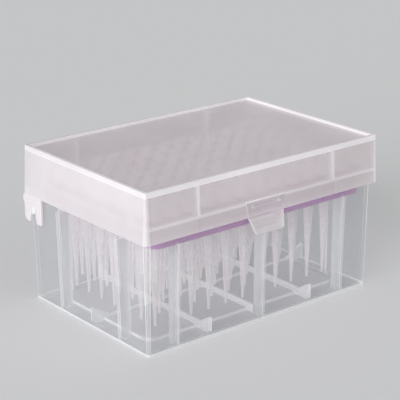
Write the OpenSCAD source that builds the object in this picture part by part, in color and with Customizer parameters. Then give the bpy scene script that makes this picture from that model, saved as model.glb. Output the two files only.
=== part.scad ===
// Rack box of pipette tips: a clear hinged-lid box, a coloured tip deck and 96 tips.
// Frame: origin at the centre of the underside, X along the box, latch at -Y, hinge at +Y, Z up.
// All sizes are in millimetres.

/* [Tip array] */
// Distance between neighbouring tip axes
pitch = 9; // [8.6:0.1:10.5]
// From the end tips' axes to the base's short faces, at the table
end_margin = 9.3; // [8.2:0.1:14]
// From the edge tips' axes to the base's long faces, at the table
side_margin = 7.7; // [7:0.1:12]

/* [Tip] */
// Overall length of a tip
tip_length = 50; // [45:0.5:60]
// Radius of the ring at the tip's mouth
tip_ring_r = 3.45; // [3.2:0.05:4]
// Height of the ring at the mouth
tip_ring_height = 2.2; // [1.5:0.1:3]
// Height of the collar that stands above the deck, ring included
tip_collar_height = 5.9; // [5:0.1:8]
// Radius of the body just under the deck
tip_body_r = 2.75; // [2.4:0.05:2.9]
// Radius of the body where the long cone begins
tip_cone_r = 2.4; // [2:0.05:2.6]
// Height of that place above the tip's end
tip_cone_height = 36; // [30:0.5:40]
// Radius where the fine point begins
tip_point_r = 1.2; // [1:0.05:1.5]
// Length of the fine point
tip_point_length = 14; // [10:0.5:18]
// Radius of the point's end
tip_end_r = 0.5; // [0.45:0.05:0.7]
// Radius of the bore's mouth
tip_mouth_r = 2.75; // [2.5:0.05:2.9]
// Thickness of the tip's wall
tip_wall = 0.4; // [0.3:0.05:0.45]
// Number of fins under the ring
tip_fins = 8; // [4:1:12]
// Width of a fin
tip_fin_width = 0.6; // [0.4:0.1:0.9]

/* [Deck] */
// Thickness of the deck's plate
deck_plate = 1.6; // [1.2:0.1:2.5]
// Height of the deck from its skirt's edge to its top
deck_height = 9.4; // [7:0.1:11]
// Thickness of the deck's skirt
deck_skirt = 1.2; // [0.8:0.1:1.6]
// Corner radius of the deck
deck_corner_r = 4.5; // [3:0.1:6]
// Gap between the deck's skirt and the base's long walls at the seat
deck_gap = 0.3; // [0.2:0.05:0.5]
// Gap between the deck's skirt and the base's short walls at the seat
deck_end_gap = 3.3; // [0.5:0.1:3.6]
// Radial gap round a tip's body in its hole
hole_gap = 0.2; // [0.1:0.05:0.3]
// Depth of the stiffening ribs under the plate
deck_rib_depth = 3.5; // [2:0.1:6]
// Thickness of those ribs
deck_rib = 1; // [0.8:0.1:1.4]

/* [Base] */
// Thickness of the base's walls
base_wall = 1.3; // [1:0.05:1.8]
// Thickness of the base's floor
base_floor = 1.3; // [1:0.05:2]
// Outward lean of the base's walls, in degrees
base_draft = 1.38; // [0.5:0.02:1.6]
// Radius of the base's upright corners, at the table
base_corner_r = 1; // [0.8:0.1:3]
// Rise of the floor's middle, and depth of the stacking recess under it
plateau_rise = 1; // [0.6:0.1:1.5]
// Width of the low channel inside the short walls
channel_end = 5.6; // [4:0.1:8]
// Width of the low channel inside the long walls
channel_side = 8; // [5:0.1:10]
// Corner radius of the raised floor
plateau_corner_r = 6; // [4:0.1:9]
// Height of the cross ribs above the raised floor
floor_rib_height = 2.2; // [1.5:0.1:3]
// Height of the low lengthwise rib above the raised floor
spine_height = 0.8; // [0.4:0.1:1.2]
// Thickness of the floor's ribs
floor_rib = 1.2; // [0.8:0.1:2]
// Gap from the cross ribs up to the tips' ends
tip_end_gap = 3.9; // [2:0.1:6]
// From the middle to the outer cross ribs of the floor, in tip pitches
floor_rib_at = 3; // [1:1:4]
// Thickness of the wall ribs that carry the deck
wall_rib = 1.4; // [1:0.1:2]
// From the middle to the outer ribs on the long walls, in tip pitches
side_rib_at = 4.9; // [4:0.1:5]
// From the middle to the ribs on the short walls, in tip pitches
end_rib_at = 2.25; // [1.5:0.25:3]
// From a long wall's ribs to the edge tips' axes
side_rib_clear = 2.4; // [1.4:0.1:2.8]
// From a short wall's ribs to the end tips' axes
end_rib_clear = 4; // [2.8:0.1:4.2]
// Height of the wall gussets above the floor
gusset_height = 6.6; // [4:0.1:9]
// Reach of the long walls' gussets along the cross ribs
gusset_run = 6; // [4:0.1:8]
// Reach of the short walls' gussets along the lengthwise rib
end_gusset_run = 8.6; // [6:0.1:10]

/* [Lid] */
// Thickness of the lid's walls and top panel
lid_wall = 1.3; // [1:0.05:1.6]
// How far the lid's skirt reaches down over the rim
lid_overlap = 5.4; // [4:0.1:7]
// From the tips' mouths up to the top panel
lid_headroom = 7.1; // [5:0.1:15]
// Inward lean of the lid's walls, in degrees
lid_draft = 2.8; // [1:0.1:3]
// Radius of the lid's upright corners, at its lower edge
lid_corner_r = 1.8; // [1.6:0.1:4]
// How far the base's outer face is stepped back beside the lid's skirt
rim_step = 0.4; // [0.2:0.05:0.5]
// Height of that step above the lid's edge
rim_step_rise = 0.5; // [0.2:0.1:1]
// Clearance that the skirt keeps from the rim as the lid swings
swing_clear = 0.2; // [0.1:0.05:0.4]
// Height of the raised stacking rim round the top
stack_rim_height = 1; // [0.6:0.1:1.6]
// Width of the stacking rim
stack_rim = 1.6; // [1.2:0.1:2]
// Thickness of the ledge that sits on the base's rim
ledge = 1; // [0.7:0.1:1.5]
// How far the ledge reaches in over the rim
ledge_reach = 1.3; // [1:0.1:1.8]
// How far in front of the hinge's axis the ledge ends, as the lid's rear dips when it opens
ledge_stop = 5; // [4.9:0.1:7]
// Gap between the ledge and the rim, with the lid shut
ledge_gap = 0.1; // [0.05:0.05:0.2]
// Thickness of the lid's inner ribs
lid_rib = 1.2; // [0.8:0.1:1.6]
// Depth of the lid's inner ribs
lid_rib_depth = 2; // [1:0.1:2.4]
// From the middle to the inner ribs on the lid's long walls, in tip pitches
lid_side_rib_at = 3.95; // [2:0.05:5]
// From the middle to the inner ribs on the lid's short walls, in tip pitches
lid_end_rib_at = 3.25; // [1.5:0.05:3.25]
// How much higher the skirt's edge is at the rear, between the ears
rear_relief = 2.6; // [2:0.1:3.5]

/* [Hinge] */
// Radius of the hinge pins
pin_r = 1.75; // [1.4:0.05:2]
// Radial gap between a pin and its clip
pin_gap = 0.06; // [0.03:0.01:0.1]
// Depth of the pins' axis below the base's rim
pin_drop = 11.5; // [10:0.1:13]
// From the base's rear face, at the table, forward to the pins' axis
pin_inset = 4.1; // [3:0.1:5]
// How far a pin stands out past its clip
pin_proud = 0.2; // [0:0.05:0.5]
// Length of an ear along the short side
ear_length = 12.3; // [11:0.1:15]
// How far the ear's rear edge is in front of the lid's rear face
ear_inset = 0.8; // [0.5:0.1:1.2]
// How far an ear hangs below the lid's edge
ear_drop = 11.6; // [11:0.1:14]
// How far an ear's tongue runs up inside the lid's wall
ear_tongue = 1.6; // [1:0.1:2.2]
// Radius of the ear's rear lower corner
ear_rear_r = 2.6; // [1.5:0.1:3.2]
// Radius of the ear's front lower corner
ear_front_r = 0.8; // [0.5:0.1:1.5]
// How far the ear's rounded heel stands out behind its rear edge
heel_proud = 0.9; // [0.3:0.1:1.2]
// Height of the heel
heel_height = 4.2; // [3:0.1:6]
// Width of the mouth through which the clip snaps on the pin
clip_mouth = 3; // [2.6:0.1:3.4]
// Width of the mouth at the ear's lower end
clip_lead = 5; // [3.6:0.1:5.6]

/* [Latch] */
// From the middle of the box to the tab's middle, to the left
tab_shift = 1.8; // [0:0.1:4]
// Width of the latch tab at the lid's edge
tab_width = 18.4; // [14:0.1:24]
// Width of the latch tab at its lower end
tab_end_width = 15.2; // [10:0.1:20]
// How far the tab hangs below the lid's edge
tab_drop = 6.6; // [5.6:0.1:9]
// How far the tab's root runs up the lid's wall
tab_root = 6.6; // [5:0.1:8]
// How far the root's top edge stands out of the lid's wall
tab_step = 0.2; // [0.15:0.05:0.6]
// Thickness of the tab
tab_thickness = 1.2; // [0.9:0.1:1.5]
// How far the tab's face stands out at the lid's edge
tab_lift = 0.5; // [0.3:0.1:1.2]
// How far the tab's face stands out at its lower end
tab_flare = 3.3; // [2:0.1:3.8]
// Corner radius of the tab's lower end
tab_corner_r = 1; // [0.5:0.1:2]
// How much wider the top of the tab's root is on each side
tab_root_spread = 1; // [0:0.1:2]
// Radius of the two grip nubs on the tab's root
nub_r = 0.9; // [0.6:0.1:1.2]
// From the tab's sides to the nubs' centres
nub_inset = 2.2; // [1.5:0.1:4]
// Height of the nubs' centres above the lid's edge
nub_rise = 4.3; // [3:0.1:5]
// Width of the catch on the base's front wall
catch_width = 12; // [6:0.1:13]
// How far the catch stands out of the wall
catch_proud = 0.6; // [0.4:0.05:0.8]
// Depth of the catch's crest below the lid's edge
catch_drop = 2.2; // [1.8:0.1:2.6]
// Depth of the tab's bead below the lid's edge
bead_drop = 4.2; // [3.8:0.1:5]
// Thickness of the tab's bead
bead = 1; // [0.8:0.1:1.2]

/* [Hidden] */
columns = 12;
rows = 8;
column_names = [for (c = [1:columns]) str("tips_column_", c < 10 ? "0" : "", c)];
$fn = 48;

clear_plastic = [0.86, 0.87, 0.9, 0.55];
lid_plastic = [0.93, 0.9, 0.92, 0.6];
deck_plastic = [0.5, 0.22, 0.52];
tip_plastic = [0.88, 0.88, 0.9, 0.7];
corner_facets = 32;
bite = 0.4;
overrun = 1;
skin = 0.1;

// Plan of the base at the table
base_length = (columns - 1) * pitch + 2 * end_margin;
base_width = (rows - 1) * pitch + 2 * side_margin;

// Levels
plateau_z = base_floor + plateau_rise;
tip_end_z = plateau_z + floor_rib_height + tip_end_gap;
deck_top = tip_end_z + tip_length - tip_collar_height;
rim_z = deck_top;
seat_z = deck_top - deck_height;
lid_edge_z = rim_z - lid_overlap;
ledge_z = rim_z + ledge_gap;
panel_z = deck_top + tip_collar_height + lid_headroom;
lid_top_z = panel_z + lid_wall + stack_rim_height;
rim_step_z = lid_edge_z + rim_step_rise;

// Hinge axis
pin_y = base_width / 2 - pin_inset;
pin_z = rim_z - pin_drop;

// How far a face leans in or out over a height
function lean(height, draft) = height * tan(draft);

// Half the base's outer size at height z, from its half size at the table
function base_half(half, z) = half + lean(z, base_draft);

// Inward travel of a point on the lid's front, from height z up past the rim, as the lid swings
function swing(z) =
    (pow(rim_z - pin_z, 2) - pow(z - pin_z, 2)) / (2 * (pin_y + base_half(base_width / 2, rim_z)));

// Inner half sizes of the lid at its edge, clear of the stepped rim as it swings
lid_gap = swing(lid_edge_z) + swing_clear - rim_step;
lid_half_x = base_half(base_length / 2, rim_z) + lid_gap;
lid_half_y = base_half(base_width / 2, rim_z) + lid_gap;
lid_front_y = -lid_half_y - lid_wall;

// Half the lid's inner size at height z, from its half size at the edge
function lid_half(half, z) = half - lean(z - lid_edge_z, lid_draft);

// Outer half sizes of the deck, inside the base's wall at the seat
deck_half_x = base_half(base_length / 2 - base_wall, seat_z) - deck_end_gap;
deck_half_y = base_half(base_width / 2 - base_wall, seat_z) - deck_gap;

function column_x(c) = (c - (columns - 1) / 2) * pitch;
function row_y(r) = (r - (rows - 1) / 2) * pitch;

// Upright rounded rectangle
module plate(length, width, corner_r, height) {
    linear_extrude(height) {
        square([length - 2 * corner_r, width], center = true);
        square([length, width - 2 * corner_r], center = true);
        for (x = [-1, 1], y = [-1, 1])
            translate([x * (length / 2 - corner_r), y * (width / 2 - corner_r)])
                circle(corner_r);
    }
}

// Rounded block whose walls lean out by the draft angle
module drafted_block(length, width, corner_r, height, draft) {
    hull()
        for (x = [-1, 1], y = [-1, 1])
            translate([x * (length / 2 - corner_r), y * (width / 2 - corner_r), 0])
                cylinder(
                    r1 = corner_r,
                    r2 = corner_r + lean(height, draft),
                    h = height,
                    $fn = corner_facets
                );
}

// Upright web that stands off the inside of one base wall, given by its profile of [out, up] points
module wall_web(turn, along, thickness, profile) {
    rotate([0, 0, turn])
        translate([0, along + thickness / 2, 0])
            rotate([90, 0, 0])
                linear_extrude(thickness)
                    polygon(profile);
}

// Profile of a full-height rib on a wall whose outer half size at the table is given
function rib_profile(half, depth) = [
    [half - base_wall - depth, base_floor / 2],
    [half - base_wall / 2, base_floor / 2],
    [base_half(half, seat_z) - base_wall / 2, seat_z],
    [half - base_wall - depth, seat_z]
];

// Profile of a low gusset that slopes down to a floor rib whose height is given
function gusset_profile(half, run, rib_height) = [
    [half - base_wall - run, base_floor / 2],
    [half - base_wall / 2, base_floor / 2],
    [half - base_wall / 2, base_floor + gusset_height],
    [half - base_wall - floor_rib / 2, base_floor + gusset_height],
    [half - base_wall - run, plateau_z + rib_height]
];

module base_shell() {
    difference() {
        union() {
            drafted_block(base_length, base_width, base_corner_r, rim_step_z, base_draft);
            upper_lean = lean(rim_step_z, base_draft) - rim_step;
            translate([0, 0, rim_step_z - bite])
                drafted_block(
                    base_length + 2 * upper_lean,
                    base_width + 2 * upper_lean,
                    base_corner_r + upper_lean,
                    rim_z - rim_step_z + bite,
                    base_draft
                );
        }
        translate([0, 0, base_floor])
            drafted_block(
                base_length - 2 * base_wall + 2 * lean(base_floor, base_draft),
                base_width - 2 * base_wall + 2 * lean(base_floor, base_draft),
                max(base_corner_r - base_wall, 0.3),
                rim_z,
                base_draft
            );
    }
}

module base_floor_ribs() {
    for (x = [-1, 0, 1] * floor_rib_at * pitch)
        translate([x - floor_rib / 2, -base_width / 2 + base_wall / 2, base_floor / 2])
            cube([floor_rib, base_width - base_wall, plateau_z + floor_rib_height - base_floor / 2]);
    translate([-base_length / 2 + base_wall / 2, -floor_rib / 2, base_floor / 2])
        cube([base_length - base_wall, floor_rib, plateau_z + spine_height - base_floor / 2]);
}

module base_wall_ribs() {
    half_x = base_length / 2;
    half_y = base_width / 2;
    side_depth = side_margin - base_wall - side_rib_clear;
    end_depth = end_margin - base_wall - end_rib_clear;
    for (turn = [90, -90]) {
        for (x = [-1, 0, 1] * side_rib_at * pitch)
            wall_web(turn, x, wall_rib, rib_profile(half_y, side_depth));
        for (x = [-1, 1] * floor_rib_at * pitch)
            wall_web(turn, x, wall_rib, gusset_profile(half_y, gusset_run, floor_rib_height));
    }
    for (turn = [0, 180]) {
        for (y = [-1, 1] * end_rib_at * pitch)
            wall_web(turn, y, wall_rib, rib_profile(half_x, end_depth));
        wall_web(turn, 0, wall_rib, gusset_profile(half_x, end_gusset_run, spine_height));
    }
}

module hinge_pins() {
    root_x = base_half(base_length / 2, pin_z) - base_wall / 2;
    end_x = lid_half_x + lid_wall + pin_proud;
    for (turn = [0, 180])
        rotate([0, 0, turn])
            translate([root_x, turn == 0 ? pin_y : -pin_y, pin_z])
                rotate([0, 90, 0]) {
                    cylinder(r = pin_r, h = end_x - root_x - pin_proud);
                    translate([0, 0, end_x - root_x - pin_proud])
                        cylinder(r1 = pin_r, r2 = pin_r - pin_proud, h = pin_proud);
                }
}

// Half-round catch across the front wall, behind the latch tab
module latch_catch() {
    crest_z = lid_edge_z - catch_drop;
    translate([-tab_shift - catch_width / 2, -base_half(base_width / 2, crest_z), crest_z])
        rotate([0, 90, 0])
            cylinder(r = catch_proud, h = catch_width);
}

module base() {
    color(clear_plastic)
        difference() {
            union() {
                base_shell();
                plate(
                    base_length - 2 * (base_wall + channel_end),
                    base_width - 2 * (base_wall + channel_side),
                    plateau_corner_r,
                    plateau_z
                );
                base_floor_ribs();
                base_wall_ribs();
                hinge_pins();
                latch_catch();
            }
            translate([0, 0, -overrun])
                plate(
                    base_length - 2 * (base_wall + channel_end + base_floor),
                    base_width - 2 * (base_wall + channel_side + base_floor),
                    plateau_corner_r - base_floor,
                    plateau_rise + overrun
                );
        }
}

module deck_ribs() {
    top_z = deck_top - deck_plate;
    for (x = [-4, -2, 0, 2, 4] * pitch)
        translate([x - deck_rib / 2, -deck_half_y + deck_skirt / 2, top_z - deck_rib_depth])
            cube([deck_rib, 2 * deck_half_y - deck_skirt, deck_rib_depth + deck_plate / 2]);
    for (y = [-2, 0, 2] * pitch)
        translate([-deck_half_x + deck_skirt / 2, y - deck_rib / 2, top_z - deck_rib_depth])
            cube([2 * deck_half_x - deck_skirt, deck_rib, deck_rib_depth + deck_plate / 2]);
}

module tip_deck() {
    hole_r = tip_body_r + hole_gap;
    color(deck_plastic)
        difference() {
            union() {
                difference() {
                    translate([0, 0, seat_z])
                        plate(2 * deck_half_x, 2 * deck_half_y, deck_corner_r, deck_height);
                    translate([0, 0, seat_z - overrun])
                        plate(
                            2 * (deck_half_x - deck_skirt),
                            2 * (deck_half_y - deck_skirt),
                            deck_corner_r - deck_skirt,
                            deck_height - deck_plate + overrun
                        );
                }
                deck_ribs();
            }
            for (c = [0:columns - 1], r = [0:rows - 1])
                translate([column_x(c), row_y(r), deck_top - deck_plate - overrun])
                    cylinder(r = hole_r, h = deck_plate + 2 * overrun);
        }
}

// One tip, standing on its end at the origin
module tip() {
    collar_z = tip_length - tip_collar_height;
    ring_z = tip_length - tip_ring_height;
    neck_r = tip_ring_r - tip_wall;
    rotate_extrude()
        polygon([
            [tip_end_r - tip_wall / 2, 0],
            [tip_end_r, 0],
            [tip_point_r, tip_point_length],
            [tip_cone_r, tip_cone_height],
            [tip_body_r, collar_z],
            [neck_r, collar_z],
            [neck_r, ring_z],
            [tip_ring_r, ring_z],
            [tip_ring_r, tip_length],
            [tip_mouth_r, tip_length],
            [tip_cone_r - tip_wall, tip_cone_height],
            [tip_point_r - tip_wall, tip_point_length]
        ]);
    for (turn = [0:360 / tip_fins:359])
        rotate([0, 0, turn])
            translate([neck_r - tip_wall / 2, -tip_fin_width / 2, collar_z])
                cube([tip_ring_r - neck_r + tip_wall / 4, tip_fin_width, ring_z - collar_z + tip_wall]);
}

module tips_column(c) {
    color(tip_plastic)
        for (r = [0:rows - 1])
            translate([column_x(c), row_y(r), tip_end_z])
                tip();
}

module lid_shell() {
    outer_x = 2 * (lid_half_x + lid_wall);
    outer_y = 2 * (lid_half_y + lid_wall);
    lid_lean = lean(lid_top_z - lid_edge_z, lid_draft);
    rim_inset = 2 * (lid_lean + stack_rim);
    difference() {
        translate([0, 0, lid_edge_z])
            drafted_block(outer_x, outer_y, lid_corner_r, lid_top_z - lid_edge_z, -lid_draft);
        translate([0, 0, lid_edge_z - overrun])
            drafted_block(
                2 * (lid_half_x + lean(overrun, lid_draft)),
                2 * (lid_half_y + lean(overrun, lid_draft)),
                lid_corner_r + lean(overrun, lid_draft),
                panel_z - lid_edge_z + overrun,
                -lid_draft
            );
        translate([0, 0, lid_top_z - stack_rim_height])
            plate(
                outer_x - rim_inset,
                outer_y - rim_inset,
                max(lid_corner_r - lid_lean - stack_rim, 0.5),
                stack_rim_height + overrun
            );
        translate([-lid_half_x + bite, lid_half_y - lid_wall, lid_edge_z - overrun])
            cube([2 * (lid_half_x - bite), 3 * lid_wall, rear_relief + overrun]);
    }
}

// Ledge round the front and sides that sits on the base's rim
module lid_ledge() {
    half_x = lid_half(lid_half_x, ledge_z);
    half_y = lid_half(lid_half_y, ledge_z);
    outer = lid_wall / 2;
    end_y = pin_y - ledge_stop;
    translate([0, 0, ledge_z])
        linear_extrude(ledge)
            difference() {
                translate([-half_x - outer, -half_y - outer])
                    square([2 * (half_x + outer), end_y + half_y + outer]);
                translate([-half_x + ledge_reach, -half_y + ledge_reach])
                    square([2 * (half_x - ledge_reach), end_y + half_y]);
            }
}

// Upright rib inside one lid wall, from the ledge up to the top panel
module lid_web(turn, along, half) {
    low = ledge_z + ledge / 2;
    wall_web(turn, along, lid_rib, [
        [lid_half(half, low) - lid_rib_depth, low],
        [lid_half(half, low) + lid_wall / 2, low],
        [lid_half(half, panel_z) + lid_wall / 2, panel_z + lid_wall / 2],
        [lid_half(half, panel_z) - lid_rib_depth, panel_z + lid_wall / 2]
    ]);
}

// Outline of an ear as [along Y, up] with its snap-on clip
module ear_outline() {
    rear_y = lid_half_y + lid_wall - ear_inset;
    front_y = rear_y - ear_length;
    low_z = lid_edge_z - ear_drop;
    heel_r = (pow(heel_height / 2, 2) + pow(heel_proud, 2)) / (2 * heel_proud);
    difference() {
        union() {
            translate([front_y, low_z + ear_rear_r])
                square([ear_length, ear_drop - ear_rear_r]);
            translate([front_y, low_z + ear_front_r])
                square([ear_length - ear_rear_r, ear_rear_r]);
            translate([front_y + ear_front_r, low_z])
                square([ear_length - ear_front_r - ear_rear_r, ear_rear_r]);
            translate([front_y + ear_front_r, low_z + ear_front_r])
                circle(ear_front_r);
            translate([rear_y - ear_rear_r, low_z + ear_rear_r])
                circle(ear_rear_r);
            translate([rear_y + heel_proud - heel_r, lid_edge_z - heel_height / 2])
                intersection() {
                    circle(heel_r);
                    translate([0, -heel_height / 2])
                        square([heel_r, heel_height]);
                }
        }
        translate([pin_y, pin_z])
            circle(pin_r + pin_gap);
        polygon([
            [pin_y - clip_mouth / 2, pin_z],
            [pin_y - clip_lead / 2, low_z],
            [pin_y - clip_lead / 2, low_z - overrun],
            [pin_y + clip_lead / 2, low_z - overrun],
            [pin_y + clip_lead / 2, low_z],
            [pin_y + clip_mouth / 2, pin_z]
        ]);
    }
}

// Ears that hang from the lid's short walls, each with a tongue that runs up inside the wall
module lid_ears() {
    inset = 2 * skin;
    for (side = [0, 1])
        mirror([side, 0, 0]) {
            translate([lid_half_x + skin, 0, 0])
                rotate([90, 0, 90])
                    linear_extrude(lid_wall - skin - skin / 2)
                        ear_outline();
            translate([
                lid_half_x + inset,
                lid_half_y + lid_wall - ear_inset - ear_length + inset,
                lid_edge_z - bite
            ])
                cube([lid_wall - 2 * inset, ear_length - 2 * inset - lid_corner_r, bite + ear_tongue]);
        }
}

// How far the tab's face stands out of the wall at height z
function tab_stand(z) = tab_lift + (tab_flare - tab_lift) * (lid_edge_z - z) / tab_drop;

// Profile of the flared tab as [out of the wall, up]
module tab_profile() {
    edge_z = lid_edge_z;
    low_z = lid_edge_z - tab_drop;
    polygon([
        [-lid_wall, edge_z + tab_root],
        [tab_step - lean(tab_root, lid_draft), edge_z + tab_root],
        [tab_lift, edge_z],
        [tab_flare, low_z],
        [tab_flare - tab_thickness, low_z],
        [tab_lift - tab_thickness, edge_z],
        [-lid_wall / 2, edge_z + bite]
    ]);
}

// Outline of the tab seen from the front as [along X, up]
module tab_outline() {
    low_z = lid_edge_z - tab_drop;
    end_half = tab_end_width / 2 - tab_corner_r;
    polygon([
        [-tab_width / 2 - tab_root_spread, lid_edge_z + tab_root],
        [-tab_width / 2, lid_edge_z],
        [-tab_end_width / 2, low_z + tab_corner_r],
        [-end_half, low_z],
        [end_half, low_z],
        [tab_end_width / 2, low_z + tab_corner_r],
        [tab_width / 2, lid_edge_z],
        [tab_width / 2 + tab_root_spread, lid_edge_z + tab_root]
    ]);
    for (x = [-1, 1])
        translate([x * end_half, low_z + tab_corner_r])
            circle(tab_corner_r);
}

// The tab, with its bead and nubs, about the box's middle
module latch_tab() {
    bead_z = lid_edge_z - bead_drop;
    bead_y = -base_half(base_width / 2, bead_z)
        - max(catch_proud + swing_clear, swing(bead_z) + swing_clear - rim_step);
    bead_root_y = lid_front_y - tab_stand(bead_z) + tab_thickness / 2;
    intersection() {
        translate([-tab_width / 2 - tab_root_spread, lid_front_y, 0])
            rotate([90, 0, 90])
                linear_extrude(tab_width + 2 * tab_root_spread)
                    mirror([1, 0])
                        tab_profile();
        translate([0, lid_front_y + lid_wall + overrun, 0])
            rotate([90, 0, 0])
                linear_extrude(lid_wall + tab_flare + 2 * overrun)
                    tab_outline();
    }
    translate([-catch_width / 2, bead_root_y, bead_z - bead / 2])
        cube([catch_width, bead_y - bead_root_y, bead]);
    for (x = [-1, 1] * (tab_width / 2 - nub_inset))
        translate([x, lid_front_y + lid_wall / 2, lid_edge_z + nub_rise])
            rotate([90, 0, 0])
                cylinder(r1 = nub_r, r2 = nub_r / 2, h = lid_wall / 2 + nub_r);
}

module lid() {
    color(lid_plastic) {
        lid_shell();
        lid_ledge();
        for (turn = [90, -90], x = [-1, 1] * lid_side_rib_at * pitch)
            lid_web(turn, x, lid_half_y);
        for (turn = [0, 180], y = [-1, 1] * lid_end_rib_at * pitch)
            lid_web(turn, y, lid_half_x);
        lid_ears();
        translate([-tab_shift, 0, 0])
            latch_tab();
    }
}

base();
tip_deck();
lid();
for (c = [0:columns - 1])
    tips_column(c);
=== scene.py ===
"""Rack box of pipette tips: its finishes, tips, lights and camera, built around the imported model.

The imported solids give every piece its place. The base, the deck and the lid are dressed copies of
their solids with softened edges. The tips are spun afresh with fine marks, and they are bored at
the mouth and filled below it, while their solids are bored through.
"""

import logging
import math
from dataclasses import dataclass
from enum import Enum

import bmesh
import bpy
from mathutils import Matrix, Vector

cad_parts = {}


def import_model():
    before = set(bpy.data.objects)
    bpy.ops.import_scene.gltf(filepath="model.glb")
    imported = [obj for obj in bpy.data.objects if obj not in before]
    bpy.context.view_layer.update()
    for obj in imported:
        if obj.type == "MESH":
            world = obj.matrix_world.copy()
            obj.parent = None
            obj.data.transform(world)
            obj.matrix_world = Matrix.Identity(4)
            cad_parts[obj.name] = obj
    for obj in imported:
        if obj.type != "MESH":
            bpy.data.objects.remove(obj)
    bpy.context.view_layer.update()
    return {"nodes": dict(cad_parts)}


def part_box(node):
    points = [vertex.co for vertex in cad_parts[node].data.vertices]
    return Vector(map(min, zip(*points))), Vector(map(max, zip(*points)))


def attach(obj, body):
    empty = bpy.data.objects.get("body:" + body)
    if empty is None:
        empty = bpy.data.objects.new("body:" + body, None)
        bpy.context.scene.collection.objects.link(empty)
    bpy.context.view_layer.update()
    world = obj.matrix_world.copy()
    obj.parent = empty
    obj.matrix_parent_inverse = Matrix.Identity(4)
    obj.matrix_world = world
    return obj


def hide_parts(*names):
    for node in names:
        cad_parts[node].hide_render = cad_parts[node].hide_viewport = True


Color = tuple[float, float, float, float]
Point = tuple[float, float, float]
Nodes = dict[str, bpy.types.Object]
Socket = bpy.types.NodeSocket
Tree = bpy.types.NodeTree

LOG = logging.getLogger("tip_box")
MM = 0.001
COLUMNS = 12
ROWS = 8

# The layers of a mesh that hold the mask of what is painted denser and whiter (edges, corners,
# ribs), partly as painted light, and the mask of its side walls.
DENSE_AND_PAINTED_LIGHT_MASK = "dense_and_painted_light_mask"
SIDE_MASK = "side_mask"

# A thin face is on a rounded corner where its normal has this much along both X and Y, and on the
# corner's middle line where it has the larger amount. Both get a painted highlight down the corner.
CORNER_TURN = 0.1
CORNER_MIDDLE = 0.64

# A face stands upright where its normal rises by less than this.
UPRIGHT = 0.5

# Past any part of the box, in millimetres.
FAR = 200.0

# Vertices closer than these are one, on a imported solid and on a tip.
SOLID_MERGE = 0.002 * MM
TIP_MERGE = 0.001 * MM

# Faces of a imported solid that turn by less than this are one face.
FLAT_ANGLE = math.radians(0.5)

# Edges sharper than this, in radians, are shaded sharp.
SMOOTH_ANGLE = 0.6

# The noise mostly stays between these, which a finish maps to a range of its own.
NOISE_LOW, NOISE_HIGH = 0.3, 0.7
CLOUD_DETAIL, GRAIN_DETAIL = 3.0, 2.0

# How far the grain takes the roughness from its middle, and how high the grain is, in metres.
ROUGHNESS_SPREAD = 0.15
GRAIN_HEIGHT = 0.0002

# How near its outline a round piece looks denser.
RIM_BLEND = 0.3


class Body(Enum):
    """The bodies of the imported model."""

    BASE = "base"
    LID = "lid"


class Axis(Enum):
    """The axis along which a band of a wall is set out."""

    X = "X"
    Y = "Y"
    Z = "Z"


class Slot(Enum):
    """The record's material slots."""

    BASE = "base_plastic"
    LID = "lid_plastic"
    DECK = "deck_plastic"
    TIP = "tip_plastic"


def srgb(red: int, green: int, blue: int) -> Color:
    """Turns a display colour into the linear colour that a shader takes.

    Args:
        red: Red, from 0 to 255.
        green: Green, from 0 to 255.
        blue: Blue, from 0 to 255.

    Returns:
        The linear colour with an alpha of 1.
    """
    linear = []
    for level in (red, green, blue):
        share = level / 255
        linear.append(share / 12.92 if share <= 0.04045 else ((share + 0.055) / 1.055) ** 2.4)
    return (linear[0], linear[1], linear[2], 1.0)


# ---------------------------------------------------------------- shader nodes


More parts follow.
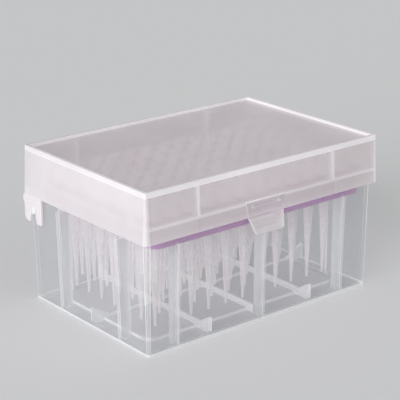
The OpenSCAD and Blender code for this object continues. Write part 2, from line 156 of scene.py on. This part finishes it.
class Wires:
    """A node tree with short ways to add nodes and join them."""

    def __init__(self, tree: Tree) -> None:
        """Takes a tree and clears it."""
        self.tree = tree
        tree.nodes.clear()

    def add(self, kind: str, **values: object) -> bpy.types.Node:
        """Adds a node.

        Args:
            kind: The node's type without its ShaderNode prefix.
            **values: The node's own settings, by name.

        Returns:
            The new node.
        """
        prefix = "" if kind.startswith("NodeGroup") else "ShaderNode"
        node = self.tree.nodes.new(prefix + kind)
        for name, value in values.items():
            setattr(node, name, value)
        return node

    def join(self, start: Socket, end: Socket) -> None:
        """Joins an output to an input."""
        self.tree.links.new(start, end)

    def math(self, operation: str, first: object, second: object, clamp: bool = False) -> Socket:
        """Adds a Math node.

        Args:
            operation: The node's operation.
            first: A socket or a number.
            second: A socket or a number.
            clamp: Whether the result is kept between 0 and 1.

        Returns:
            The result's socket.
        """
        node = self.add("Math", operation=operation, use_clamp=clamp)
        for socket, value in zip(node.inputs, (first, second)):
            if isinstance(value, Socket):
                self.join(value, socket)
            else:
                socket.default_value = value
        return node.outputs["Value"]

    def blend(self, factor: object, first: object, second: object) -> Socket:
        """Mixes two colours.

        Args:
            factor: A socket or a number.
            first: The colour at 0, a socket or a value.
            second: The colour at 1, a socket or a value.

        Returns:
            The mixed colour's socket.
        """
        node = self.add("Mix", data_type="RGBA")
        for name, value in (("Factor_Float", factor), ("A_Color", first), ("B_Color", second)):
            socket = next(s for s in node.inputs if s.identifier == name)
            if isinstance(value, Socket):
                self.join(value, socket)
            else:
                socket.default_value = value
        return next(s for s in node.outputs if s.identifier == "Result_Color")

    def ramp(self, value: Socket, low: float, high: float, start: float, end: float) -> Socket:
        """Maps a value from one range to another, clamped.

        Args:
            value: The value's socket.
            low: The value that gives start.
            high: The value that gives end.
            start: The result at low.
            end: The result at high.

        Returns:
            The result's socket.
        """
        node = self.add("MapRange", clamp=True)
        self.join(value, node.inputs["Value"])
        limits = {"From Min": low, "From Max": high, "To Min": start, "To Max": end}
        for name, number in limits.items():
            node.inputs[name].default_value = number
        return node.outputs["Result"]

    def group(self, tree: Tree, **values: object) -> bpy.types.Node:
        """Places a node group.

        Args:
            tree: The group's tree.
            **values: Its inputs' values, by name with spaces as underscores.

        Returns:
            The group's node.
        """
        node = self.add("Group")
        node.node_tree = tree
        for name, value in values.items():
            node.inputs[name.replace("_", " ")].default_value = value
        return node


def make_group(
    name: str, inputs: dict[str, float], outputs: list[str]
) -> tuple[Wires, bpy.types.Node, bpy.types.Node]:
    """Starts a shader node group with named number sockets.

    Args:
        name: The group's name.
        inputs: The inputs' names and their defaults.
        outputs: The outputs' names.

    Returns:
        The group's wires, its input node and its output node.
    """
    tree = bpy.data.node_groups.new(name, "ShaderNodeTree")
    for socket, value in inputs.items():
        made = tree.interface.new_socket(socket, in_out="INPUT", socket_type="NodeSocketFloat")
        made.default_value = value
    for socket in outputs:
        tree.interface.new_socket(socket, in_out="OUTPUT", socket_type="NodeSocketFloat")
    wires = Wires(tree)
    return wires, wires.add("NodeGroupInput"), wires.add("NodeGroupOutput")


def moulded_group() -> Tree:
    """Builds the look of moulded plastic: cloudy flow marks and a fine grain.

    Returns:
        The group, which puts out Cloud and Grain, each from 0 to 1.
    """
    wires, given, put = make_group(
        "moulded_plastic", {"Cloud Scale": 30.0, "Grain Scale": 900.0}, ["Cloud", "Grain"]
    )
    place = wires.add("TexCoord").outputs["Object"]
    for name, detail in (("Cloud", CLOUD_DETAIL), ("Grain", GRAIN_DETAIL)):
        noise = wires.add("TexNoise")
        wires.join(place, noise.inputs["Vector"])
        wires.join(given.outputs[f"{name} Scale"], noise.inputs["Scale"])
        noise.inputs["Detail"].default_value = detail
        wires.join(noise.outputs["Fac"], put.inputs[name])
    return wires.tree


def band_group() -> Tree:
    """Builds a soft band between two places along an axis.

    Returns:
        The group, which puts out Band: 1 between Low and High, and 0 past Soft beyond them.
    """
    wires, given, put = make_group(
        "wall_band", {"Place": 0.0, "Low": 0.0, "High": 1.0, "Soft": 0.001}, ["Band"]
    )
    over = wires.math("SUBTRACT", given.outputs["Place"], given.outputs["Low"])
    under = wires.math("SUBTRACT", given.outputs["High"], given.outputs["Place"])
    nearest = wires.math("MINIMUM", over, under)
    share = wires.math("DIVIDE", nearest, given.outputs["Soft"])
    wires.join(wires.math("ADD", share, 1.0, clamp=True), put.inputs["Band"])
    return wires.tree


@dataclass(frozen=True)
class Band:
    """A stretch of the side walls painted denser and whiter, as where a rib backs the wall: denser
    for the added plastic, and whiter partly as painted light.

    The places are in millimetres from the middle of the box, or up from the table. The band runs
    from low to high, fades over soft, and shows only between its floor and its ceiling. Dense is
    how much it adds to the wall's density, and the whiteness share is how much whiter it paints
    the wall, partly as painted light.
    """

    axis: Axis
    low: float
    high: float
    soft: float
    dense: float
    whiter_and_painted_light: float = 1.0
    floor: float = -FAR
    ceiling: float = FAR


@dataclass(frozen=True)
class Plastic:
    """A moulded plastic's finish.

    The alpha is what one surface of a wall holds back. A wall has two, so it looks denser. The
    mottle is how far the cloudy marks change it, and the rim alpha is what a surface seen at a
    slant holds back besides. The glow is the share of all this that light still passes on its way
    to what is inside, as it does through translucent plastic. The second colour is what the masks
    paint towards: whiter where there is more plastic, painted highlights on edges and corners,
    and painted light on ribs and lit walls.
    """

    name: str
    color: Color
    whiter_and_highlight_color: Color
    alpha: float
    edge_alpha: float
    roughness: float = 0.3
    mottle: float = 0.04
    cloud_scale: float = 30.0
    grain_scale: float = 900.0
    bump: float = 0.02
    specular: float = 0.5
    rim_alpha: float = 0.0
    glow: float = 0.62
    bands: tuple[Band, ...] = ()

    def build(self, moulded: Tree, band: Tree) -> bpy.types.Material:
        """Makes the material.

        Args:
            moulded: The group with the marks of moulding.
            band: The group with a band between two places.

        Returns:
            The material.
        """
        material = bpy.data.materials.new(self.name)
        material.use_nodes = True
        wires = Wires(material.node_tree)
        shader = wires.add("BsdfPrincipled")
        wires.join(shader.outputs["BSDF"], wires.add("OutputMaterial").inputs["Surface"])
        marks = wires.group(moulded, Cloud_Scale=self.cloud_scale, Grain_Scale=self.grain_scale)
        cloud, grain = marks.outputs["Cloud"], marks.outputs["Grain"]
        edge = wires.add("Attribute", attribute_name=DENSE_AND_PAINTED_LIGHT_MASK).outputs["Fac"]
        side = wires.add("Attribute", attribute_name=SIDE_MASK).outputs["Fac"]
        dense, whiter_and_painted_light = self.add_bands(wires, band, side, edge)
        clouded = wires.ramp(cloud, NOISE_LOW, NOISE_HIGH, 1 - self.mottle, 1 + self.mottle)
        dim = wires.add("VectorMath", operation="SCALE")
        # Blended whiter by the masks: more plastic, painted highlights and painted light.
        wires.join(wires.blend(whiter_and_painted_light, self.color, self.whiter_and_highlight_color), dim.inputs[0])
        wires.join(clouded, dim.inputs["Scale"])
        wires.join(dim.outputs["Vector"], shader.inputs["Base Color"])
        smoothest = self.roughness * (1 - ROUGHNESS_SPREAD)
        roughest = self.roughness * (1 + ROUGHNESS_SPREAD)
        rough = wires.ramp(grain, NOISE_LOW, NOISE_HIGH, smoothest, roughest)
        wires.join(rough, shader.inputs["Roughness"])
        bump = wires.add("Bump")
        bump.inputs["Strength"].default_value = self.bump
        bump.inputs["Distance"].default_value = GRAIN_HEIGHT
        wires.join(grain, bump.inputs["Height"])
        wires.join(bump.outputs["Normal"], shader.inputs["Normal"])
        shader.inputs["Specular IOR Level"].default_value = self.specular
        wires.join(self.add_alpha(wires, dense, side, clouded), shader.inputs["Alpha"])
        return material

    def add_alpha(self, wires: Wires, dense: Socket, side: Socket, clouded: Socket) -> Socket:
        """Adds the nodes for what a surface holds back.

        Args:
            wires: The material's wires.
            dense: The mask of what is denser.
            side: The mask of the side walls, which is below 0 where a face is clearer.
            clouded: The cloudy marks, around 1.

        Returns:
            The alpha.
        """
        held = wires.ramp(dense, 0.0, 1.0, self.alpha, self.edge_alpha)
        held = wires.math("MULTIPLY", held, clouded)
        if self.rim_alpha:
            weight = wires.add("LayerWeight")
            weight.inputs["Blend"].default_value = RIM_BLEND
            slant = wires.math("MULTIPLY", weight.outputs["Facing"], self.rim_alpha)
            held = wires.math("ADD", held, slant)
        held = wires.math("ADD", held, wires.math("MINIMUM", side, 0.0))
        lit = wires.add("LightPath").outputs["Is Shadow Ray"]
        passed = wires.math("MULTIPLY", lit, -self.glow)
        return wires.math("MULTIPLY", held, wires.math("ADD", passed, 1.0), clamp=True)

    def add_bands(
        self, wires: Wires, band: Tree, side: Socket, edge: Socket
    ) -> tuple[Socket, Socket]:
        """Adds the side walls' bands to the edges' mask of what is painted denser and whiter.

        Args:
            wires: The material's wires.
            band: The group with a band between two places.
            side: The mask of the side walls.
            edge: The mask of edges, corners and ribs, whiter partly as painted light.

        Returns:
            The mask of what is denser and the mask of what is whiter, partly as painted light.
        """
        dense = whiter_and_painted_light = edge
        if not self.bands:
            return dense, whiter_and_painted_light
        size = wires.add("VectorMath", operation="ABSOLUTE")
        wires.join(wires.add("TexCoord").outputs["Object"], size.inputs[0])
        place = wires.add("SeparateXYZ")
        wires.join(size.outputs["Vector"], place.inputs[0])
        for row in self.bands:
            node = wires.group(band, Low=row.low * MM, High=row.high * MM, Soft=row.soft * MM)
            wires.join(place.outputs[row.axis.value], node.inputs["Place"])
            most = wires.math("MULTIPLY", side, row.dense)
            shown = wires.math("MULTIPLY", node.outputs["Band"], most)
            for operation, height in (("GREATER_THAN", row.floor), ("LESS_THAN", row.ceiling)):
                if abs(height) < FAR:
                    within = wires.math(operation, place.outputs["Z"], height * MM)
                    shown = wires.math("MULTIPLY", shown, within)
            dense = wires.math("MAXIMUM", dense, shown)
            if row.whiter_and_painted_light:
                whiter_and_painted_light = wires.math("MAXIMUM", whiter_and_painted_light, wires.math("MULTIPLY", shown, row.whiter_and_painted_light))
        return dense, whiter_and_painted_light


# ---------------------------------------------------------------- meshes


def finish_piece(
    mesh: bmesh.types.BMesh, name: str, material: bpy.types.Material, casts_shadow: bool = True
) -> bpy.types.Object:
    """Turns a bmesh into an object with its finish.

    Args:
        mesh: The bmesh, which is freed.
        name: The object's name.
        material: Its material.
        casts_shadow: Whether it holds back light. Thin clear plastic inside the box doesn't.

    Returns:
        The object, linked to the scene.
    """
    for face in mesh.faces:
        face.smooth = True
    for edge in mesh.edges:
        if len(edge.link_faces) == 2:
            edge.smooth = edge.calc_face_angle(0.0) < SMOOTH_ANGLE
    data = bpy.data.meshes.new(name)
    mesh.to_mesh(data)
    mesh.free()
    data.materials.append(material)
    piece = bpy.data.objects.new(name, data)
    piece.visible_shadow = casts_shadow
    bpy.context.scene.collection.objects.link(piece)
    return piece


@dataclass(frozen=True)
class Patch:
    """A room of the box, alike on its left and right, and the masks of the faces in it.

    The corners are in millimetres, with X measured out from the middle. The face, thin and bevel
    masks are how dense a broad face, a thin face and a softened edge look, and how far they are
    painted whiter, partly as painted light: a painted highlight on thin faces and softened edges.
    An edge whose bevel is 0 stays sharp. Side is how much of the finish's bands an upright face
    shows, and clear is taken from a face's alpha.
    """

    low: Point
    high: Point
    face: float = 0.0
    thin: float = 0.9
    bevel: float = 1.0
    side: float = 1.0
    clear: float = 0.0

    def holds(self, place: Vector) -> bool:
        """Says whether a point lies in the room.

        Args:
            place: The point, in metres.

        Returns:
            Whether it does.
        """
        spot = (abs(place.x), place.y, place.z)
        return all(low * MM <= v <= high * MM for v, low, high in zip(spot, self.low, self.high))


@dataclass
class SoftenedSolid:
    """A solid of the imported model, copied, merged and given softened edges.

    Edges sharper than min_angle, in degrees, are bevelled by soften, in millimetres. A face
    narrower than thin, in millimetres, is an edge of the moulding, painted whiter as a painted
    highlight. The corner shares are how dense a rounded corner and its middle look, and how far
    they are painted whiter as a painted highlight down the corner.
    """

    node: str
    name: str
    body: Body
    slot: Slot
    soften: float = 0.15
    min_angle: float = 25.0
    thin: float = 1.75
    corner_highlight_mask: float = 0.15
    corner_highlight_line: float = 0.5
    patches: tuple[Patch, ...] = ()
    elsewhere: Patch = Patch((0.0, -FAR, -FAR), (FAR, FAR, FAR))

    def build(self, nodes: Nodes, material: bpy.types.Material) -> bpy.types.Object:
        """Copies the solid and dresses it.

        Args:
            nodes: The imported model's nodes.
            material: The piece's finish.

        Returns:
            The piece.
        """
        mesh = bmesh.new()
        mesh.from_mesh(nodes[self.node].data)
        bmesh.ops.remove_doubles(mesh, verts=mesh.verts, dist=SOLID_MERGE)
        bmesh.ops.dissolve_limit(
            mesh,
            angle_limit=FLAT_ANGLE,
            use_dissolve_boundaries=False,
            verts=mesh.verts,
            edges=mesh.edges,
        )
        self.mask_faces(mesh)
        sharp = [e for e in mesh.edges if self.is_sharp(e)]
        made = bmesh.ops.bevel(
            mesh,
            geom=sharp,
            offset=self.soften * MM,
            offset_type="OFFSET",
            segments=1,
            profile=0.5,
            affect="EDGES",
            clamp_overlap=False,
            material=-1,
        )
        dense_and_painted_light_mask = mesh.faces.layers.float[DENSE_AND_PAINTED_LIGHT_MASK]
        # The softened edges are painted denser and whiter, a painted highlight.
        for face in made["faces"]:
            face[dense_and_painted_light_mask] = self.patch_at(face.calc_center_bounds()).bevel
        piece = finish_piece(mesh, self.name, material)
        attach(piece, self.body.value)
        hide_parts(self.node)
        return piece

    def mask_faces(self, mesh: bmesh.types.BMesh) -> None:
        """Writes the masks of every face.

        Args:
            mesh: The solid's bmesh.
        """
        dense_and_painted_light_mask = mesh.faces.layers.float.new(DENSE_AND_PAINTED_LIGHT_MASK)
        side_mask = mesh.faces.layers.float.new(SIDE_MASK)
        for face in mesh.faces:
            patch = self.patch_at(face.calc_center_bounds())
            upright = abs(face.normal.z) < UPRIGHT and not patch.clear
            face[side_mask] = patch.side if upright else -patch.clear
            turned = min(abs(face.normal.x), abs(face.normal.y))
            # Thin faces and rounded corners are painted whiter as a painted highlight.
            if 2 * face.calc_area() >= self.thin * MM * face.calc_perimeter():
                face[dense_and_painted_light_mask] = patch.face
            elif turned > CORNER_MIDDLE:
                face[dense_and_painted_light_mask] = self.corner_highlight_line
            elif turned > CORNER_TURN:
                face[dense_and_painted_light_mask] = self.corner_highlight_mask
            else:
                face[dense_and_painted_light_mask] = patch.thin

    def is_sharp(self, edge: bmesh.types.BMEdge) -> bool:
        """Says whether an edge is one to soften.

        Args:
            edge: The edge.

        Returns:
            Whether it is.
        """
        if len(edge.link_faces) != 2 or edge.calc_face_angle(0.0) < math.radians(self.min_angle):
            return False
        middle = (edge.verts[0].co + edge.verts[1].co) / 2
        return self.patch_at(middle).bevel > 0

    def patch_at(self, place: Vector) -> Patch:
        """Finds the patch that a point lies in.

        Args:
            place: The point.

        Returns:
            The first patch that holds it, or the one for everywhere else.
        """
        return next((patch for patch in self.patches if patch.holds(place)), self.elsewhere)


@dataclass
class TipRack:
    """The tips, spun in columns of eight, bored at the mouth and filled below it.

    Sizes are in millimetres. The outline's points are a radius and a height, from the end up the
    outside and down to the bore's floor, and the marks are the heights of the graduation rings.
    """

    length: float = 50.0
    ring_radius: float = 3.45
    ring_height: float = 2.2
    collar_height: float = 5.9
    wall: float = 0.4
    fins: int = 8
    fin_width: float = 0.6
    fin_depth: float = 0.6
    fin_inset: float = 0.05
    steps: int = 16
    pitch: float = 9.0
    marks: tuple[float, ...] = (8.6, 19.5, 24.5)
    mark_rise: float = 0.07
    mark_half: float = 0.25
    outline: tuple[tuple[float, float], ...] = (
        (0.0, 0.0),
        (0.5, 0.0),
        (1.2, 14.0),
        (2.4, 36.0),
        (2.75, 44.1),
        (3.05, 44.15),
        (3.05, 47.8),
        (3.45, 47.85),
        (3.45, 49.8),
        (3.25, 50.0),
        (2.95, 50.0),
        (2.75, 49.8),
        (2.1, 37.0),
        (1.2, 34.0),
        (0.0, 33.0),
    )

    def tip(self) -> bmesh.types.BMesh:
        """Spins one tip, standing on its end at the origin.

        Returns:
            The tip's bmesh.
        """
        mesh = bmesh.new()
        profile = self.outline_with_marks()
        points = [mesh.verts.new((radius * MM, 0, height * MM)) for radius, height in profile]
        edges = [mesh.edges.new(pair) for pair in zip(points, points[1:])]
        bmesh.ops.spin(
            mesh,
            geom=points + edges,
            cent=(0, 0, 0),
            axis=(0, 0, 1),
            angle=2 * math.pi,
            steps=self.steps,
            use_merge=True,
            use_duplicate=False,
        )
        bmesh.ops.remove_doubles(mesh, verts=mesh.verts, dist=TIP_MERGE)
        bmesh.ops.recalc_face_normals(mesh, faces=mesh.faces)
        for index in range(self.fins):
            self.add_fin(mesh, 2 * math.pi * index / self.fins)
        return mesh

    def outline_with_marks(self) -> list[tuple[float, float]]:
        """Adds the raised graduation rings to the outline.

        Returns:
            The outline's points, from the end up the outside and down to the bore's floor.
        """
        half = self.mark_half
        points = list(self.outline)
        for height in sorted(self.marks, reverse=True):
            after = next(i for i, p in enumerate(points) if p[1] > height)
            (r0, z0), (r1, z1) = points[after - 1], points[after]
            radius = r0 + (r1 - r0) * (height - z0) / (z1 - z0)
            slope = (r1 - r0) / (z1 - z0)
            points[after:after] = [
                (radius - slope * half, height - half),
                (radius + self.mark_rise, height - half / 2),
                (radius + self.mark_rise, height + half / 2),
                (radius + slope * half, height + half),
            ]
        return points

    def add_fin(self, mesh: bmesh.types.BMesh, turn: float) -> None:
        """Adds one fin under the ring.

        Args:
            mesh: The tip's bmesh.
            turn: The fin's direction, in radians.
        """
        low = self.length - self.collar_height
        high = self.length - self.ring_height + self.wall / 2
        depth = self.fin_depth - self.fin_inset
        out = self.ring_radius - self.fin_depth / 2
        made = bmesh.ops.create_cube(mesh, size=1)
        size = Matrix.Diagonal((depth * MM, self.fin_width * MM, (high - low) * MM, 1))
        place = Matrix.Translation((out * MM, 0, (low + high) / 2 * MM))
        turned = Matrix.Rotation(turn, 4, "Z") @ place @ size
        bmesh.ops.transform(mesh, matrix=turned, verts=made["verts"])

    def build(self, nodes: Nodes, material: bpy.types.Material) -> list[bpy.types.Object]:
        """Sets the tips out in columns, each over its solids.

        Args:
            nodes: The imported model's nodes.
            material: The tips' finish.

        Returns:
            The columns.
        """
        one = self.tip()
        data = bpy.data.meshes.new("one_tip")
        one.to_mesh(data)
        one.free()
        pieces = []
        for column in range(1, COLUMNS + 1):
            node = f"tips_column_{column:02d}"
            low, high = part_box(node)
            mesh = bmesh.new()
            for row in range(ROWS):
                before = len(mesh.verts)
                mesh.from_mesh(data)
                mesh.verts.ensure_lookup_table()
                across = (row - (ROWS - 1) / 2) * self.pitch * MM
                place = Vector(((low.x + high.x) / 2, across, low.z))
                bmesh.ops.translate(mesh, vec=place, verts=mesh.verts[before:])
            piece = finish_piece(mesh, f"tips_{column:02d}", material, casts_shadow=False)
            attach(piece, Body.BASE.value)
            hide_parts(node)
            pieces.append(piece)
        bpy.data.meshes.remove(data)
        return pieces


# ---------------------------------------------------------------- studio


def toward(azimuth: float, elevation: float) -> Vector:
    """Gives the direction from the box to a place round it.

    Args:
        azimuth: The angle round from the front, in degrees, to the right.
        elevation: The angle up from the floor, in degrees.

    Returns:
        A vector of length 1.
    """
    turn, rise = math.radians(azimuth), math.radians(elevation)
    reach = math.cos(rise)
    return Vector((math.sin(turn) * reach, -math.cos(turn) * reach, math.sin(rise)))


@dataclass(frozen=True)
class Lamp:
    """A wide soft light from one side, even over the whole floor.

    Its place and its spread are in degrees.
    """

    name: str
    azimuth: float
    elevation: float
    strength: float
    spread: float

    def build(self) -> None:
        """Makes the lamp."""
        data = bpy.data.lights.new(self.name, "SUN")
        data.energy = self.strength
        data.angle = math.radians(self.spread)
        lamp = bpy.data.objects.new(self.name, data)
        back = toward(self.azimuth, self.elevation)
        lamp.location = back
        lamp.rotation_euler = back.to_track_quat("Z", "Y").to_euler()
        bpy.context.scene.collection.objects.link(lamp)


@dataclass
class Studio:
    """The pale floor, the soft light and the camera.

    Places and sizes are in metres, and the lens and the sensor in millimetres.
    """

    camera_place: Point = (-0.3514, -0.4314, 0.2324)
    azimuth: float = -39.07
    elevation: float = 18.96
    roll: float = -0.21
    lens: float = 125.73
    sensor: float = 36.0
    clip: tuple[float, float] = (0.01, 20.0)
    floor_size: float = 6.0
    floor_drop: float = 0.0001
    floor_roughness: float = 0.8
    floor_specular: float = 0.1
    floor_color: Color = srgb(240, 241, 242)
    backdrop_color: Color = srgb(198, 199, 200)
    sky: float = 0.42
    lamps: tuple[Lamp, ...] = (
        Lamp("key_light", azimuth=-69.4, elevation=20.8, strength=2.35, spread=36.0),
        Lamp("fill_light", azimuth=24.8, elevation=16.0, strength=0.42, spread=36.0),
    )

    def build(self) -> None:
        """Sets up the floor, the world, the lamps and the camera."""
        self.build_floor()
        self.build_world()
        for lamp in self.lamps:
            lamp.build()
        self.build_camera()
        bpy.context.scene.view_settings.view_transform = "Standard"

    def build_floor(self) -> None:
        """Lays a plain pale floor."""
        mesh = bmesh.new()
        bmesh.ops.create_grid(mesh, x_segments=1, y_segments=1, size=self.floor_size / 2)
        material = bpy.data.materials.new("pale_floor")
        material.use_nodes = True
        wires = Wires(material.node_tree)
        shader = wires.add("BsdfPrincipled")
        wires.join(shader.outputs["BSDF"], wires.add("OutputMaterial").inputs["Surface"])
        shader.inputs["Base Color"].default_value = self.floor_color
        shader.inputs["Roughness"].default_value = self.floor_roughness
        shader.inputs["Specular IOR Level"].default_value = self.floor_specular
        floor = finish_piece(mesh, "floor", material)
        floor.location.z = -self.floor_drop

    def build_world(self) -> None:
        """Makes the world a plain pale studio."""
        world = bpy.data.worlds.new("studio")
        bpy.context.scene.world = world
        world.use_nodes = True
        wires = Wires(world.node_tree)
        light = wires.add("Background")
        light.inputs["Strength"].default_value = self.sky
        seen = wires.add("Background")
        seen.inputs["Color"].default_value = self.backdrop_color
        mix = wires.add("MixShader")
        path = wires.add("LightPath").outputs
        shown = wires.math("MAXIMUM", path["Is Camera Ray"], path["Is Glossy Ray"])
        wires.join(wires.math("MAXIMUM", shown, path["Is Transmission Ray"]), mix.inputs["Fac"])
        wires.join(light.outputs["Background"], mix.inputs[1])
        wires.join(seen.outputs["Background"], mix.inputs[2])
        wires.join(mix.outputs["Shader"], wires.add("OutputWorld").inputs["Surface"])

    def build_camera(self) -> None:
        """Places the camera."""
        back = toward(self.azimuth, self.elevation)
        data = bpy.data.cameras.new("camera")
        data.lens = self.lens
        data.sensor_width = self.sensor
        data.clip_start, data.clip_end = self.clip
        camera = bpy.data.objects.new("camera", data)
        roll = Matrix.Rotation(math.radians(self.roll), 3, "Z")
        rotation = back.to_track_quat("Z", "Y").to_matrix() @ roll
        camera.matrix_world = Matrix.Translation(self.camera_place) @ rotation.to_4x4()
        bpy.context.scene.collection.objects.link(camera)
        bpy.context.scene.camera = camera


# ---------------------------------------------------------------- the box


BASE_PATCHES = (
    # The ribs on its walls, painted denser and whiter, the whiteness as painted light.
    Patch((0.0, -37.7, 6.5), (57.2, 37.7, 43.2), face=0.4, side=0.0),
    # The ribs on its floor and their gussets, denser and whiter, the whiteness as painted light.
    Patch((0.0, -37.7, 2.4), (57.2, 37.7, 6.5), face=0.75, side=0.0),
    # Its floor, painted denser and whiter: painted light that lifts the shade inside the box.
    Patch((0.0, -37.5, 0.8), (57.0, 37.5, 2.4), face=0.4, side=0.0),
)

LID_PATCHES = (
    # The ribs inside it, painted denser and whiter, the whiteness as painted light.
    Patch((0.0, -39.6, 52.0), (59.3, 39.6, 65.4), face=0.9, side=0.0),
    # The latch tab: its top, its upper part and its lower part.
    Patch((0.0, -46.5, 53.4), (12.6, -41.0, 54.1), side=0.0),
    Patch((0.0, -46.5, 47.1), (12.6, -41.0, 53.4), thin=0.1, bevel=0.25, clear=0.06),
    Patch((0.0, -46.5, 40.0), (12.6, -41.0, 47.1), face=0.1, thin=0.3, bevel=0.5, side=0.0),
    # The line where an ear meets the lower edge, and the ear, painted whiter as painted light.
    Patch((58.0, 28.0, 46.9), (64.0, 42.0, 47.3), thin=0.7, bevel=0.0),
    Patch((58.0, 28.0, 30.0), (64.0, 44.0, 46.9), face=0.5, thin=0.6),
    # The panel.
    Patch((0.0, -38.5, 65.0), (58.5, 38.5, 67.2), face=0.25),
    # The inner faces of the stacking rim, the short walls and the rear wall.
    Patch((0.0, -40.2, 66.9), (60.2, 40.2, 67.6), thin=0.55, side=0.7),
    Patch((58.9, -39.0, 50.0), (60.3, 39.0, 66.0), side=0.5),
    # The rear wall, painted denser and whiter: painted light that lifts the shade on it.
    Patch((0.0, 38.0, 47.0), (58.0, 40.7, 66.0), face=0.9),
)


@dataclass
class TipBox:
    """The whole box: base, deck, tips and lid."""

    base_finish: Plastic = Plastic(
        name="clear_base",
        color=srgb(195, 197, 201),
        # Painted whiter on edges, corners and ribs: more plastic, and painted highlights and light.
        whiter_and_highlight_color=srgb(250, 250, 251),
        alpha=0.28,
        edge_alpha=0.8,
        roughness=0.2,
        glow=0.9,
        bands=(
            # The bottom edge, painted whiter as a painted highlight.
            Band(Axis.Z, -1.0, 1.1, 0.2, 0.8),
            # The ribs behind the long walls and behind the short walls, whiter as painted light.
            Band(Axis.X, -0.7, 0.7, 0.2, 0.45, ceiling=44.0),
            Band(Axis.X, 43.4, 44.8, 0.2, 0.45, ceiling=44.0),
            Band(Axis.Y, 19.55, 20.95, 0.2, 0.45, ceiling=44.0),
        ),
    )
    lid_finish: Plastic = Plastic(
        name="milky_lid",
        color=srgb(217, 210, 213),
        # Painted whiter on edges, ribs and the rim, as painted highlights and painted light.
        whiter_and_highlight_color=srgb(249, 246, 248),
        alpha=0.44,
        edge_alpha=0.85,
        roughness=0.35,
        glow=0.75,
        bands=(
            # The stacking rim, painted whiter as a painted highlight, and the walls under
            # it, only denser.
            Band(Axis.Z, 65.7, 68.5, 0.25, 1.15),
            Band(Axis.Z, 40.0, 65.0, 0.4, 0.45, whiter_and_painted_light=0.0),
            # The ends of the long walls, only denser, and the short walls, painted
            # whiter as painted light of the brightly lit short side.
            Band(Axis.X, 36.2, 58.0, 0.2, 0.6, whiter_and_painted_light=0.0),
            Band(Axis.X, 59.5, 64.0, 0.3, 0.75, whiter_and_painted_light=0.75),
            # The ledge that sits on the base, and the ribs above it, whiter as painted light.
            Band(Axis.Z, 52.6, 53.6, 0.3, 0.55),
            Band(Axis.X, 34.95, 36.15, 0.2, 0.8, floor=53.6),
            Band(Axis.Y, 28.65, 29.85, 0.2, 0.75, whiter_and_painted_light=0.35, floor=53.6),
        ),
    )
    deck_finish: Plastic = Plastic(
        name="purple_deck",
        color=srgb(186, 92, 185),
        # A lighter purple painted on its edges as a painted highlight.
        whiter_and_highlight_color=srgb(206, 134, 200),
        alpha=0.98,
        edge_alpha=0.98,
        glow=0.9,
        roughness=0.4,
    )
    tip_finish: Plastic = Plastic(
        name="tip_clear",
        color=srgb(250, 243, 246),
        whiter_and_highlight_color=srgb(250, 250, 251),
        alpha=0.36,
        edge_alpha=0.9,
        roughness=0.15,
        rim_alpha=1.0,
        mottle=0.02,
        bump=0.01,
    )

    def build(self, nodes: Nodes) -> list[bpy.types.Object]:
        """Builds and dresses every piece.

        Args:
            nodes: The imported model's nodes.

        Returns:
            The pieces.
        """
        moulded, band = moulded_group(), band_group()
        base = SoftenedSolid(
            "base",
            "base_box",
            Body.BASE,
            Slot.BASE,
            corner_highlight_mask=0.12,
            corner_highlight_line=1.0,
            patches=BASE_PATCHES,
        )
        deck = SoftenedSolid("tip_deck", "deck", Body.BASE, Slot.DECK)
        lid = SoftenedSolid(
            "lid",
            "hinged_lid",
            Body.LID,
            Slot.LID,
            patches=LID_PATCHES,
            elsewhere=Patch((0.0, -FAR, -FAR), (FAR, FAR, FAR), thin=0.55),
        )
        return [
            base.build(nodes, self.base_finish.build(moulded, band)),
            deck.build(nodes, self.deck_finish.build(moulded, band)),
            *TipRack().build(nodes, self.tip_finish.build(moulded, band)),
            lid.build(nodes, self.lid_finish.build(moulded, band)),
        ]


def main() -> None:
    """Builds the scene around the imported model."""
    logging.basicConfig(level=logging.INFO, format="%(name)s: %(message)s")
    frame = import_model()
    for piece in TipBox().build(frame["nodes"]):
        LOG.info("%s: %d faces", piece.name, len(piece.data.polygons))
    Studio().build()


if __name__ == "__main__":
    main()
